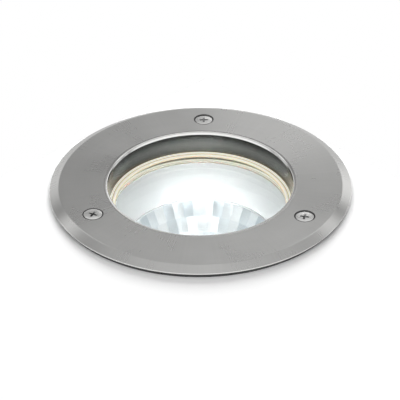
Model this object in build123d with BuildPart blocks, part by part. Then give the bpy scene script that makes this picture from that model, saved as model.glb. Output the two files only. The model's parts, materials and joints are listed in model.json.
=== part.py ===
# Recessed ground light with a stainless trim ring, a sealed glass, a facetted reflector lamp,
# a ribbed housing and an installation sleeve.
# Millimetres. Z points up, Z = 0 is the finished floor, the lamp axis is the Z axis.
# The side seen in the photo faces -Y. The sizes build up from the lamp outwards to the ring.

from math import cos, radians, sin, sqrt
from build123d import *
import os

os.makedirs("parts", exist_ok=True)

# Fits and gaps
run_gap = 0.05
cone_gap = 0.1
slip_gap = 0.2
rim_gap = 0.4
sleeve_gap = 0.6
lamp_gap = 0.6
thread_gap = 0.75
seal_gap = 1.0
boss_gap = 1.0

# Lamp: a reflector lamp with an E27 cap
lamp_d = 97.0
lamp_len = 91.0
lamp_rim_w = 1.7
lamp_rim_h = 3.0
lens_t = 2.4
lens_sunk = 0.4
lens_edge = 0.5
lens_rest = 0.8
bowl_depth = 43.2
bowl_wall = 2.8
facet_rows = 5
facet_row_h = 9.0
facet_row_less = 0.9
facet_count = 42
row_drop_count = 6
throat_h = 13.2
throat_rise = 9.0
burner_hole_r = 9.0
neck_top_r = 17.0
neck_foot_r = 14.2

# Burner and filament
burner_r = 6.0
burner_wall = 1.0
burner_h = 30.0
burner_lap = 0.6
burner_floor = 4.0
burner_set = 6.0
coil_r = 0.8
coil_h = 9.0
coil_drop = 3.0
lead_r = 0.35
lead_x = 2.6

# Lamp cap
cap_r = 13.0
cap_wall = 0.6
cap_h = 18.0
insulator_h = 4.0
insulator_set = 2.0
insulator_lap = 0.6
contact_r = 4.8
contact_h = 2.0
contact_slope = 0.8
contact_edge = 0.5
contact_dome = 2.2

# Reflector cone, glass and glass seal
cone_overlap = 2.3
cone_flare = 6.3
cone_drop = 22.4
cone_wall = 1.2
cone_flange_t = 1.2
cone_set_in = 2.0
cone_top_set = 1.5
glass_t = 8.0
glass_edge = 0.6
seal_reach = 9.5
seal_t = 3.0
seal_top_t = 2.3
seal_base_t = 1.2
under_lip_t = 1.0
under_lip_set = 1.2
seal_base_reach = 5.0
seal_show = 3.8
seal_lip_h = 0.6
seal_lip_under = 0.4
outer_bead_w = 1.6
bead_dip = 0.15
groove_dip = 0.8
inner_bead_dip = 0.55

# Trim ring and its gasket
ring_t = 3.6
edge_h = 0.6
bevel_w = 5.7
lip_w = 1.0
lip_h = 1.3
lip_round = 0.8
ease_w = 5.0
ease_h = 0.5
wall_taper = 0.6
collar_t = 2.7
collar_h = 10.5
collar_fillet = 1.2
gasket_t = 0.8
gasket_w = 3.6
gasket_set_in = 0.5

# Ring screws, M6 countersunk, with rubber seals round their heads
screw_angles = {"back": 90.0, "left": 210.0, "right": 330.0}
cross_turns = {"back": 2.0, "left": 64.0, "right": 77.0}
screw_r = 3.0
screw_len = 16.0
screw_head_r = 5.65
screw_sunk = 0.1
screw_point = 0.7
screw_hole_r = 3.4
screw_seal_w = 0.65
screw_seal_lift = 0.35
cross_len = 6.4
cross_w = 1.25
cross_depth = 2.2
cross_taper = 9.0
tip_room = 4.8

# Thread inserts
insert_r = 4.5
insert_len = 8.5
insert_set = 2.0

# Lamp holder
shell_wall = 0.8
shell_short = 1.5
holder_wall = 3.2
holder_swell = 3.2
holder_over = 3.0
holder_flare = 2.0
holder_edge = 1.5
holder_head_h = 24.0
holder_slope = 2.0
holder_base_t = 9.0
holder_hole_h = 6.0
leaf_room = 4.4
leaf_t = 0.8
leaf_root_t = 1.4
leaf_w = 6.0
leaf_back = 9.0
leaf_bend = 3.5
leaf_flat = 1.5
leaf_front = 4.5

# Bracket, and the pan head screws that fix the holder, the bracket and the earth tag
holder_lift = 20.6
bracket_t = 1.5
bracket_w = 18.0
bracket_side = 6.2
bracket_foot = 12.0
bracket_bend = 1.0
pan_r = 3.6
pan_h = 2.4
pan_round = 1.0
pan_shank_r = 2.0
hold_screw_x = 11.0
hold_depth = 5.5
floor_grip = 3.0
floor_hole_h = 3.5

# Terminal block, wires and earth tag
block_l = 34.0
block_w = 18.0
block_h = 14.0
block_inset = 17.5
block_round = 1.5
pole_pitch = 10.0
pole_row = 9.0
pole_screw_r = 2.0
pole_hole_h = 5.0
pole_screw_h = 4.2
pole_slot_w = 0.7
pole_slot_h = 1.0
wire_r = 1.2
wire_room = 1.3
wire_lift = 6.0
wire_bend = 4.0
wire_grip = 5.0
wire_in = 4.5
earth_bend = 2.5
earth_y = 8.0
tag_t = 0.8
tag_r = 4.2
tag_w = 4.6
tag_len = 8.0
tag_end = 2.0
crimp_r = 2.0
crimp_h = 1.6

# Cable gland and blanking plug
entry_x = 15.0
entry_y = -28.0
entry_r = 10.0
entry_flats = 24.0
locknut_h = 4.5
oring_t = 1.6
oring_w = 1.8
thread_in = 6.0
gland_hex_h = 6.0
gland_neck_h = 8.0
gland_gap = 1.2
gland_nut_h = 9.0
gland_crown_r = 12.0
gland_crown_h = 4.8
gland_crown_round = 3.0
gland_step = 0.5
gland_mouth = 0.8
cable_r = 3.6
cable_seal_t = 2.5
cable_seal_len = 13.0
cable_seal_out = 5.0
plug_in = 3.0
plug_hex_h = 5.0
plug_slot_l = 14.0
plug_slot_w = 2.4

# Housing
flange_h = 8.0
flange_rest = 1.6
head_wall = 4.0
head_h = 29.0
head_slope = 5.0
boss_wall = 2.3
boss_skin = 0.2
seat_t = 5.0
seat_w = 11.0
seat_slope = 4.0
pot_step = 2.0
pot_taper = 9.0
pot_wall = 4.5
pot_edge = 4.0
floor_t = 5.0
fin_count = 12
fin_t = 4.0
fin_out = 6.0
fin_set = 2.0
fin_slope = 8.0
fin_lift = 8.0

# Sleeve
sleeve_wall = 3.6
sleeve_h = 140.0
sleeve_rim_w = 3.6
sleeve_rim_h = 3.0
sleeve_taper = 0.8
sleeve_taper_h = 6.0
sleeve_foot_in = 0.5
sleeve_foot_slope = 1.0
rib_count = 12
rib_t = 2.4
rib_out = 2.6
rib_root = 1.0
notch_r = 14.0
notch_rise = 10.0

# Radii from the lamp outwards
lamp_rim_r = lamp_d / 2
lens_r = lamp_rim_r - lamp_rim_w
facet_top_r = lens_r - lens_rest
cone_foot_r = lamp_rim_r - cone_overlap
seal_lip_r = cone_foot_r + cone_flare
under_lip_r = seal_lip_r + under_lip_set
cone_top_r = seal_lip_r + cone_top_set
glass_r = seal_lip_r + seal_reach
cone_flange_r = glass_r - cone_set_in
seal_r = glass_r + seal_t
wall_foot_r = seal_lip_r + seal_show
wall_top_r = wall_foot_r + wall_taper
opening_r = wall_top_r + lip_w
collar_r = wall_top_r + collar_t
housing_bore_r = seal_r + seal_gap
boss_r = insert_r + boss_wall
screw_circle = housing_bore_r + boss_skin + boss_r
sleeve_in_r = screw_circle + boss_r + boss_gap
flange_r = sleeve_in_r + flange_rest
sleeve_seat_r = flange_r + sleeve_gap
sleeve_r = sleeve_in_r + sleeve_wall
sleeve_rim_r = sleeve_r + sleeve_rim_w
sleeve_foot_r = sleeve_rim_r - sleeve_foot_in
gasket_in_r = sleeve_rim_r + rim_gap
gasket_r = gasket_in_r + gasket_w
ring_r = gasket_r + gasket_set_in
flat_r = ring_r - bevel_w
sink_r = screw_head_r + screw_seal_w

# Levels from the ring down to the gland
ring_top = gasket_t + ring_t
screw_top = ring_top - screw_sunk
insert_foot = -insert_set - insert_len
seal_top = gasket_t - collar_h
glass_top = seal_top - seal_top_t
glass_foot = glass_top - glass_t
cone_flange_top = glass_foot - under_lip_t
cone_flange_foot = cone_flange_top - cone_flange_t
seat_top = cone_flange_foot - seal_base_t
cone_foot = glass_foot - cone_drop
lamp_top = cone_foot - lamp_gap
facet_top = lamp_top - lens_sunk - lens_t
contact_foot = lamp_top - lamp_len
insulator_foot = contact_foot + contact_h
cap_foot = insulator_foot + insulator_h
neck_foot = cap_foot + cap_h
holder_top = neck_foot + holder_over
holder_floor = contact_foot - leaf_room
holder_foot = holder_floor - holder_base_t
floor_z = holder_foot - holder_lift
floor_foot = floor_z - floor_t


def outline(*points):
    """A closed flat outline in the XZ plane from (radius, height) points."""
    with BuildSketch(Plane.XZ) as flat:
        with BuildLine():
            Polyline(*points, close=True)
        make_face()
    return flat.sketch


def polar(radius, angle):
    """The X and Y of a point on a circle about the lamp axis."""
    return radius * cos(radians(angle)), radius * sin(radians(angle))


def bowl_r(height):
    """Radius of the lamp's parabola at a height."""
    return facet_top_r * sqrt((height - facet_top + bowl_depth) / bowl_depth)


def pan_screws(label, places, seat, up, grip):
    """Pan head screws: heads on one side of a seat, shanks of a given grip on the other."""
    with BuildPart() as screws:
        with BuildSketch(Plane.XY.offset(seat)):
            with Locations(*places):
                Circle(pan_r)
        extrude(amount=up * pan_h)
        crowns = screws.faces().sort_by(Axis.Z, reverse=up > 0)[:len(places)]
        fillet(crowns.edges(), pan_round)
        with BuildSketch(Plane.XY.offset(seat)):
            with Locations(*places):
                Circle(pan_shank_r)
        extrude(amount=-up * grip)
    screws.part.label = label
    export_step(screws.part, "parts/" + label + ".step")


# Trim ring: flange with a bevelled edge that bends down to the opening, countersunk holes and a
# collar that presses the glass seal
with BuildPart() as trim_ring:
    with BuildSketch(Plane.XZ):
        with BuildLine():
            Polyline(
                (opening_r + ease_w, ring_top),
                (flat_r, ring_top),
                (ring_r, gasket_t + edge_h),
                (ring_r, gasket_t),
                (collar_r, gasket_t),
                (collar_r, seal_top),
                (wall_foot_r, seal_top),
                (wall_top_r, ring_top - lip_h),
                (opening_r, ring_top - ease_h),
            )
            TangentArc(
                (opening_r + ease_w, ring_top),
                (opening_r, ring_top - ease_h),
                tangent=(-1, 0),
            )
        make_face()
    revolve(axis=Axis.Z)
    collar_root = trim_ring.edges().filter_by(GeomType.CIRCLE).filter_by(
        lambda e: abs(e.radius - collar_r) < run_gap and abs(e.center().Z - gasket_t) < run_gap
    )
    fillet(collar_root, collar_fillet)
    lip_edge = trim_ring.edges().filter_by(GeomType.CIRCLE).filter_by(
        lambda e: abs(e.radius - opening_r) < run_gap
    )
    fillet(lip_edge, lip_round)
    with Locations(Plane.XY.offset(ring_top)):
        with PolarLocations(screw_circle, len(screw_angles), start_angle=screw_angles["back"]):
            CounterSinkHole(screw_hole_r, sink_r, counter_sink_angle=90)
trim_ring.part.label = "trim_ring"
export_step(trim_ring.part, "parts/trim_ring.step")

# Flat gasket under the edge of the ring, the dark line between ring and floor
with BuildPart() as ring_gasket:
    with BuildSketch(Plane.XY):
        Circle(gasket_r)
        Circle(gasket_in_r, mode=Mode.SUBTRACT)
    extrude(amount=gasket_t)
ring_gasket.part.label = "ring_gasket"
export_step(ring_gasket.part, "parts/ring_gasket.step")

# Ring screws and the conical rubber seals round their heads
sink_depth = sink_r - screw_hole_r
screw_seal_foot = ring_top - sink_depth + screw_seal_lift
screw_foot = screw_top - screw_len
for side, angle in screw_angles.items():
    centre_x, centre_y = polar(screw_circle, angle)
    with BuildPart() as screw_seal:
        sink_edge = sink_r - ring_top - cone_gap
        head_edge = screw_head_r - screw_top + cone_gap
        with Locations((centre_x, centre_y, 0)):
            add(revolve(outline(
                (screw_seal_foot + head_edge, screw_seal_foot),
                (screw_seal_foot + sink_edge, screw_seal_foot),
                (screw_top + sink_edge, screw_top),
                (screw_top + head_edge, screw_top),
            ), axis=Axis.Z, mode=Mode.PRIVATE))
    screw_seal.part.label = "screw_seal_" + side
    export_step(screw_seal.part, "parts/screw_seal_" + side + ".step")

    with BuildPart() as ring_screw:
        with Locations((centre_x, centre_y, 0)):
            add(revolve(outline(
                (0, screw_top),
                (screw_head_r, screw_top),
                (screw_r, screw_top - screw_head_r + screw_r),
                (screw_r, screw_foot + screw_point),
                (screw_r - screw_point, screw_foot),
                (0, screw_foot),
            ), axis=Axis.Z, mode=Mode.PRIVATE))
        with BuildSketch(Plane((centre_x, centre_y, screw_top))):
            Rectangle(cross_len, cross_w, rotation=cross_turns[side])
            Rectangle(cross_w, cross_len, rotation=cross_turns[side])
        extrude(amount=-cross_depth, taper=cross_taper, mode=Mode.SUBTRACT)
    ring_screw.part.label = "ring_screw_" + side
    export_step(ring_screw.part, "parts/ring_screw_" + side + ".step")

# Toughened glass with ground edges
with BuildPart() as glass:
    revolve(outline(
        (0, glass_foot),
        (glass_r - glass_edge, glass_foot),
        (glass_r, glass_foot + glass_edge),
        (glass_r, glass_top - glass_edge),
        (glass_r - glass_edge, glass_top),
        (0, glass_top),
    ), axis=Axis.Z)
glass.part.label = "glass"
export_step(glass.part, "parts/glass.step")

# Silicone seal of the glass: a channel with lips above and below the glass and two beads on top
groove_r = wall_foot_r - outer_bead_w
inner_bead_w = groove_r - seal_lip_r
seal_base_r = glass_r - seal_base_reach
with BuildPart() as glass_seal:
    with BuildSketch(Plane.XZ):
        with BuildLine():
            Polyline(
                (seal_lip_r, glass_top + seal_lip_h),
                (seal_lip_r + seal_lip_under, glass_top),
                (glass_r, glass_top),
                (glass_r, glass_foot),
                (under_lip_r, glass_foot),
                (under_lip_r, cone_flange_top),
                (cone_flange_r, cone_flange_top),
                (cone_flange_r, cone_flange_foot),
                (seal_base_r, cone_flange_foot),
                (seal_base_r, seat_top),
                (seal_r, seat_top),
                (seal_r, seal_top),
                (wall_foot_r, seal_top),
            )
            ThreePointArc(
                (wall_foot_r, seal_top),
                (groove_r + outer_bead_w / 2, seal_top - bead_dip),
                (groove_r, seal_top - groove_dip),
            )
            ThreePointArc(
                (groove_r, seal_top - groove_dip),
                (groove_r - inner_bead_w / 2, seal_top - inner_bead_dip),
                (seal_lip_r, glass_top + seal_lip_h),
            )
        make_face()
    revolve(axis=Axis.Z)
glass_seal.part.label = "glass_seal"
export_step(glass_seal.part, "parts/glass_seal.step")

# Satin cone between the glass and the lamp, hung in the seal
with BuildPart() as reflector_cone:
    revolve(outline(
        (cone_top_r, cone_flange_top),
        (cone_flange_r, cone_flange_top),
        (cone_flange_r, cone_flange_foot),
        (cone_top_r + cone_wall, cone_flange_foot),
        (cone_foot_r + cone_wall, cone_foot),
        (cone_foot_r, cone_foot),
    ), axis=Axis.Z)
reflector_cone.part.label = "reflector_cone"
export_step(reflector_cone.part, "parts/reflector_cone.step")

# Lamp reflector: a pressed bowl whose inside is rows of flat facets, each row turned half a step
row_levels = [facet_top]
for row in range(facet_rows):
    row_levels.append(row_levels[-1] - facet_row_h + row * facet_row_less)
neck_top = row_levels[-1] - throat_h
with BuildPart() as lamp_reflector:
    with BuildSketch(Plane.XZ):
        with BuildLine():
            Polyline(
                (lamp_rim_r, facet_top - lamp_rim_h),
                (lamp_rim_r, lamp_top),
                (0, lamp_top),
                (0, neck_top),
                (neck_top_r, neck_top),
                (neck_top_r, neck_top + throat_rise),
            )
            Spline(
                (neck_top_r, neck_top + throat_rise),
                *[(bowl_r(level) + bowl_wall, level) for level in reversed(row_levels[1:-1])],
                (lamp_rim_r, facet_top - lamp_rim_h),
            )
        make_face()
    revolve(axis=Axis.Z)
    with BuildSketch(Plane.XY.offset(lamp_top)):
        Circle(lens_r + slip_gap)
    extrude(amount=facet_top - lamp_top, mode=Mode.SUBTRACT)
    for row in range(facet_rows):
        sides = facet_count - row * row_drop_count
        turn = 90.0 + row % 2 * 180.0 / sides
        with BuildSketch(Plane.XY.offset(row_levels[row])):
            RegularPolygon(bowl_r(row_levels[row]), sides, rotation=turn)
        with BuildSketch(Plane.XY.offset(row_levels[row + 1])):
            RegularPolygon(bowl_r(row_levels[row + 1]), sides, rotation=turn)
        loft(ruled=True, mode=Mode.SUBTRACT)
    with BuildSketch(Plane.XY.offset(row_levels[-1])):
        Circle(burner_hole_r)
    extrude(amount=-throat_h, mode=Mode.SUBTRACT)
lamp_reflector.part.label = "lamp_reflector"
export_step(lamp_reflector.part, "parts/lamp_reflector.step")

# Clear front lens of the lamp
with BuildPart() as lamp_lens:
    with BuildSketch(Plane.XY.offset(facet_top)):
        Circle(lens_r)
    extrude(amount=lens_t)
    chamfer(lamp_lens.faces().sort_by(Axis.Z)[-1].edges(), lens_edge)
lamp_lens.part.label = "lamp_lens"
export_step(lamp_lens.part, "parts/lamp_lens.step")

# Skirt between the bowl and the screw cap
burner_foot_r = burner_hole_r + burner_lap
with BuildPart() as lamp_neck:
    revolve(outline(
        (burner_foot_r, neck_top),
        (neck_top_r, neck_top),
        (neck_foot_r, neck_foot),
        (burner_foot_r, neck_foot),
    ), axis=Axis.Z)
lamp_neck.part.label = "lamp_neck"
export_step(lamp_neck.part, "parts/lamp_neck.step")

# Halogen burner: a quartz tube with a domed end on a foot that is cemented in the neck
burner_top = neck_top + burner_h
burner_dome = burner_top - burner_r
burner_bore_r = burner_r - burner_wall
burner_base = neck_top + burner_floor
with BuildPart() as lamp_burner:
    with BuildSketch(Plane.XZ):
        with BuildLine():
            Line((0, burner_top - burner_wall), (0, burner_top))
            RadiusArc((0, burner_top), (burner_r, burner_dome), burner_r)
            Polyline(
                (burner_r, burner_dome),
                (burner_r, neck_top),
                (burner_foot_r, neck_top),
                (burner_foot_r, neck_top - burner_set),
                (0, neck_top - burner_set),
                (0, burner_base),
                (burner_bore_r, burner_base),
                (burner_bore_r, burner_dome),
            )
            RadiusArc((burner_bore_r, burner_dome), (0, burner_top - burner_wall), -burner_bore_r)
        make_face()
    revolve(axis=Axis.Z)
lamp_burner.part.label = "lamp_burner"
export_step(lamp_burner.part, "parts/lamp_burner.step")

# Filament on its two lead wires inside the burner
coil_top = burner_dome - coil_drop
coil_foot = coil_top - coil_h
with BuildPart() as lamp_filament:
    with BuildSketch(Plane.XY.offset(coil_foot)):
        Circle(coil_r)
    extrude(amount=coil_h)
    with BuildSketch(Plane.XY.offset(burner_base)):
        Circle(lead_r)
    extrude(amount=coil_foot - burner_base)
    with BuildSketch(Plane.XY.offset(burner_base)):
        with Locations((lead_x, 0)):
            Circle(lead_r)
    extrude(amount=coil_top + lead_r - burner_base)
    with BuildSketch(Plane.YZ):
        with Locations((0, coil_top)):
            Circle(lead_r)
    extrude(amount=lead_x)
lamp_filament.part.label = "lamp_filament"
export_step(lamp_filament.part, "parts/lamp_filament.step")

# E27 cap: shell, glass insulator and centre contact
cap_bore_r = cap_r - cap_wall
with BuildPart() as lamp_cap:
    with BuildSketch(Plane.XY.offset(neck_foot)):
        Circle(cap_r)
        Circle(cap_bore_r, mode=Mode.SUBTRACT)
    extrude(amount=-cap_h)
lamp_cap.part.label = "lamp_cap"
export_step(lamp_cap.part, "parts/lamp_cap.step")

with BuildPart() as lamp_insulator:
    revolve(outline(
        (0, cap_foot + insulator_set),
        (cap_bore_r, cap_foot + insulator_set),
        (cap_bore_r, cap_foot),
        (contact_r + insulator_lap, insulator_foot),
        (0, insulator_foot),
    ), axis=Axis.Z)
lamp_insulator.part.label = "lamp_insulator"
export_step(lamp_insulator.part, "parts/lamp_insulator.step")

with BuildPart() as lamp_contact:
    revolve(outline(
        (0, insulator_foot),
        (contact_r, insulator_foot),
        (contact_r - contact_slope, contact_foot + contact_edge),
        (contact_r - contact_dome, contact_foot),
        (0, contact_foot),
    ), axis=Axis.Z)
lamp_contact.part.label = "lamp_contact"
export_step(lamp_contact.part, "parts/lamp_contact.step")

# Lamp holder: porcelain body, threaded shell and spring contact
shell_in_r = cap_r + thread_gap
shell_r = shell_in_r + shell_wall
holder_bore_r = shell_r + run_gap
holder_foot_r = holder_bore_r + holder_wall
holder_top_r = holder_foot_r + holder_swell
holder_step = holder_top - holder_head_h
wire_x = pole_pitch
wire_y = bracket_w / 2 + wire_room + wire_r
wire_places = ((wire_x, wire_y), (-wire_x, wire_y))
hold_places = ((hold_screw_x, 0), (-hold_screw_x, 0))
with BuildPart() as lampholder_body:
    revolve(outline(
        (0, holder_floor),
        (holder_bore_r, holder_floor),
        (holder_bore_r, neck_foot),
        (holder_bore_r + holder_flare, holder_top),
        (holder_top_r - holder_edge, holder_top),
        (holder_top_r, holder_top - holder_edge),
        (holder_top_r, holder_step + holder_slope),
        (holder_foot_r, holder_step - holder_slope),
        (holder_foot_r, holder_foot),
        (0, holder_foot),
    ), axis=Axis.Z)
    with BuildSketch(Plane.XY.offset(holder_foot)):
        with Locations(*wire_places):
            Circle(wire_r + slip_gap)
        with Locations(*hold_places):
            Circle(pan_shank_r + run_gap)
    extrude(amount=holder_hole_h, mode=Mode.SUBTRACT)
lampholder_body.part.label = "lampholder_body"
export_step(lampholder_body.part, "parts/lampholder_body.step")

with BuildPart() as lampholder_shell:
    with BuildSketch(Plane.XY.offset(holder_floor)):
        Circle(shell_r)
        Circle(shell_in_r, mode=Mode.SUBTRACT)
    extrude(amount=neck_foot - shell_short - holder_floor)
lampholder_shell.part.label = "lampholder_shell"
export_step(lampholder_shell.part, "parts/lampholder_shell.step")

leaf_top = contact_foot - cone_gap
with BuildPart() as lampholder_contact:
    with BuildSketch(Plane.XZ):
        with BuildLine():
            Polyline(
                (-leaf_back, holder_floor),
                (-leaf_bend, holder_floor),
                (leaf_flat, leaf_top - leaf_t),
                (leaf_front, leaf_top - leaf_t),
                (leaf_front, leaf_top),
                (-leaf_flat, leaf_top),
                (-leaf_bend, holder_floor + leaf_root_t),
                (-leaf_back, holder_floor + leaf_root_t),
                close=True,
            )
        make_face()
    extrude(amount=leaf_w / 2, both=True)
lampholder_contact.part.label = "lampholder_contact"
export_step(lampholder_contact.part, "parts/lampholder_contact.step")

# Sheet steel bracket that carries the holder over the housing floor
bracket_x = holder_foot_r + bracket_side
bracket_in_x = bracket_x - bracket_t
foot_x = bracket_x + bracket_foot
foot_screw_x = bracket_x + bracket_foot / 2
foot_places = ((foot_screw_x, 0), (-foot_screw_x, 0))
with BuildPart() as lampholder_bracket:
    with BuildSketch(Plane.XZ):
        with BuildLine():
            Polyline(
                (-foot_x, floor_z),
                (-bracket_in_x, floor_z),
                (-bracket_in_x, holder_foot - bracket_t),
                (bracket_in_x, holder_foot - bracket_t),
                (bracket_in_x, floor_z),
                (foot_x, floor_z),
                (foot_x, floor_z + bracket_t),
                (bracket_x, floor_z + bracket_t),
                (bracket_x, holder_foot),
                (-bracket_x, holder_foot),
                (-bracket_x, floor_z + bracket_t),
                (-foot_x, floor_z + bracket_t),
                close=True,
            )
        make_face()
    extrude(amount=bracket_w / 2, both=True)
    corners = lampholder_bracket.edges().filter_by(Axis.Y)
    fillet(corners.filter_by(
        lambda e: abs(abs(e.center().X) - bracket_x) < run_gap and e.center().Z > holder_foot - run_gap
    ), bracket_t + bracket_bend)
    corners = lampholder_bracket.edges().filter_by(Axis.Y)
    fillet(corners.filter_by(lambda e: abs(abs(e.center().X) - bracket_in_x) < run_gap), bracket_bend)
    with BuildSketch(Plane.XY.offset(floor_z)):
        with Locations(*hold_places, *foot_places):
            Circle(pan_shank_r + slip_gap)
    extrude(amount=holder_lift, mode=Mode.SUBTRACT)
lampholder_bracket.part.label = "lampholder_bracket"
export_step(lampholder_bracket.part, "parts/lampholder_bracket.step")

# Two pan head screws hold the porcelain on the bracket, two more hold the bracket on the floor
pan_screws("holder_screws", hold_places, holder_foot - bracket_t, -1, bracket_t + hold_depth)
pan_screws("bracket_screws", foot_places, floor_z + bracket_t, 1, bracket_t + floor_grip)

# Terminal block with three poles, wired to the holder and to the earth point
pot_top_r = housing_bore_r - pot_step
pot_foot_r = pot_top_r - pot_taper
block_y = pot_foot_r - pot_wall - block_inset
block_front = block_y - block_w / 2
block_top = floor_z + block_h
wire_z = floor_z + wire_lift
with BuildPart() as terminal_block:
    with BuildSketch(Plane((0, block_y, floor_z))):
        Rectangle(block_l, block_w)
    extrude(amount=block_h)
    fillet(terminal_block.edges().filter_by(Axis.Z), block_round)
    with BuildSketch(Plane.XZ.offset(-block_front)):
        with Locations((-pole_pitch, wire_z), (0, wire_z), (pole_pitch, wire_z)):
            Circle(wire_r + slip_gap)
    extrude(amount=-block_w, mode=Mode.SUBTRACT)
    with BuildSketch(Plane((0, block_y, block_top))):
        with GridLocations(pole_pitch, pole_row, 3, 2):
            Circle(pole_screw_r + run_gap)
    extrude(amount=-pole_hole_h, mode=Mode.SUBTRACT)
terminal_block.part.label = "terminal_block"
export_step(terminal_block.part, "parts/terminal_block.step")

with BuildPart() as terminal_screws:
    with BuildSketch(Plane((0, block_y, block_top - pole_hole_h))):
        with GridLocations(pole_pitch, pole_row, 3, 2):
            Circle(pole_screw_r)
    extrude(amount=pole_screw_h)
    with BuildSketch(Plane((0, block_y, block_top - pole_hole_h + pole_screw_h))):
        with GridLocations(pole_pitch, pole_row, 3, 2):
            Rectangle(3 * pole_screw_r, pole_slot_w)
    extrude(amount=-pole_slot_h, mode=Mode.SUBTRACT)
terminal_screws.part.label = "terminal_screws"
export_step(terminal_screws.part, "parts/terminal_screws.step")

# Live and neutral wires from the block up into the holder
wire_start = block_front + wire_grip
for wire_name, x in (("wire_live", -wire_x), ("wire_neutral", wire_x)):
    with BuildPart() as wire:
        with BuildLine():
            FilletPolyline(
                (x, wire_start, wire_z),
                (x, wire_y, wire_z),
                (x, wire_y, holder_foot + wire_in),
                radius=wire_bend,
            )
        with BuildSketch(Plane.XZ.offset(-wire_start)):
            with Locations((x, wire_z)):
                Circle(wire_r)
        sweep()
    wire.part.label = wire_name
    export_step(wire.part, "parts/" + wire_name + ".step")

# Earth wire, its tag on the housing floor and the screw that holds the tag
tag_y = earth_y + tag_len
with BuildPart() as wire_earth:
    with BuildLine():
        FilletPolyline(
            (0, wire_start, wire_z),
            (0, tag_y, wire_z),
            (0, tag_y, floor_z + tag_t),
            radius=earth_bend,
        )
    with BuildSketch(Plane.XZ.offset(-wire_start)):
        with Locations((0, wire_z)):
            Circle(wire_r)
    sweep()
wire_earth.part.label = "wire_earth"
export_step(wire_earth.part, "parts/wire_earth.step")

with BuildPart() as earth_tag:
    with BuildSketch(Plane.XY.offset(floor_z)):
        with Locations((0, earth_y)):
            Circle(tag_r)
        with Locations((0, earth_y + (tag_len + tag_end) / 2)):
            Rectangle(tag_w, tag_len + tag_end)
        with Locations((0, earth_y)):
            Circle(pan_shank_r + slip_gap, mode=Mode.SUBTRACT)
    extrude(amount=tag_t)
    with BuildSketch(Plane((0, tag_y, floor_z + tag_t))):
        Circle(crimp_r)
        Circle(wire_r + run_gap, mode=Mode.SUBTRACT)
    extrude(amount=crimp_h)
earth_tag.part.label = "earth_tag"
export_step(earth_tag.part, "parts/earth_tag.step")

pan_screws("earth_screw", ((0, earth_y),), floor_z + tag_t, 1, tag_t + floor_grip)

# Cable gland and blanking plug in the two M20 entries of the floor
entry_hex = entry_flats / sqrt(3)
entry_places = ((entry_x, entry_y), (-entry_x, entry_y))
oring_foot = floor_foot - oring_t
gland_hex_foot = oring_foot - gland_hex_h
gland_foot = gland_hex_foot - gland_neck_h
gland_nut_top = gland_hex_foot - gland_gap
gland_crown = gland_nut_top - gland_nut_h
gland_nut_foot = gland_crown - gland_crown_h
cable_seal_r = cable_r + cable_seal_t
cable_seal_foot = gland_foot - cable_seal_out
with BuildPart() as gland_locknut:
    with BuildSketch(Plane((entry_x, entry_y, floor_z))):
        RegularPolygon(entry_hex, 6)
        Circle(entry_r + run_gap, mode=Mode.SUBTRACT)
    extrude(amount=locknut_h)
gland_locknut.part.label = "gland_locknut"
export_step(gland_locknut.part, "parts/gland_locknut.step")

with BuildPart() as gland_body:
    with BuildSketch(Plane((entry_x, entry_y, oring_foot))):
        Circle(entry_r)
    extrude(amount=oring_t + floor_t + thread_in)
    with BuildSketch(Plane((entry_x, entry_y, oring_foot))):
        RegularPolygon(entry_hex, 6)
    extrude(amount=-gland_hex_h)
    with BuildSketch(Plane((entry_x, entry_y, gland_hex_foot))):
        Circle(entry_r)
    extrude(amount=-gland_neck_h)
    with BuildSketch(Plane((entry_x, entry_y, gland_foot))):
        Circle(cable_seal_r + cone_gap)
    extrude(until=Until.LAST, mode=Mode.SUBTRACT)
gland_body.part.label = "gland_body"
export_step(gland_body.part, "parts/gland_body.step")

with BuildPart() as gland_seal:
    with BuildSketch(Plane((entry_x, entry_y, cable_seal_foot))):
        Circle(cable_seal_r)
        Circle(cable_r, mode=Mode.SUBTRACT)
    extrude(amount=cable_seal_len)
gland_seal.part.label = "gland_seal"
export_step(gland_seal.part, "parts/gland_seal.step")

with BuildPart() as gland_nut:
    with BuildSketch(Plane((entry_x, entry_y, gland_nut_top))):
        RegularPolygon(entry_hex, 6)
    extrude(amount=-gland_nut_h)
    with BuildSketch(Plane((entry_x, entry_y, gland_crown))):
        Circle(gland_crown_r)
    extrude(amount=-gland_crown_h)
    fillet(gland_nut.faces().sort_by(Axis.Z)[0].edges(), gland_crown_round)
    with BuildSketch(Plane((entry_x, entry_y, gland_foot - gland_step))):
        Circle(entry_r + run_gap)
    extrude(until=Until.LAST, mode=Mode.SUBTRACT)
    with BuildSketch(Plane((entry_x, entry_y, cable_seal_foot))):
        Circle(cable_seal_r + run_gap)
    extrude(until=Until.LAST, mode=Mode.SUBTRACT)
    with BuildSketch(Plane((entry_x, entry_y, gland_nut_foot))):
        Circle(cable_r + gland_mouth)
    extrude(until=Until.LAST, mode=Mode.SUBTRACT)
gland_nut.part.label = "gland_nut"
export_step(gland_nut.part, "parts/gland_nut.step")

with BuildPart() as entry_orings:
    with BuildSketch(Plane.XY.offset(oring_foot)):
        with Locations(*entry_places):
            Circle(entry_r + oring_w)
            Circle(entry_r + run_gap, mode=Mode.SUBTRACT)
    extrude(amount=oring_t)
entry_orings.part.label = "entry_orings"
export_step(entry_orings.part, "parts/entry_orings.step")

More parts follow.
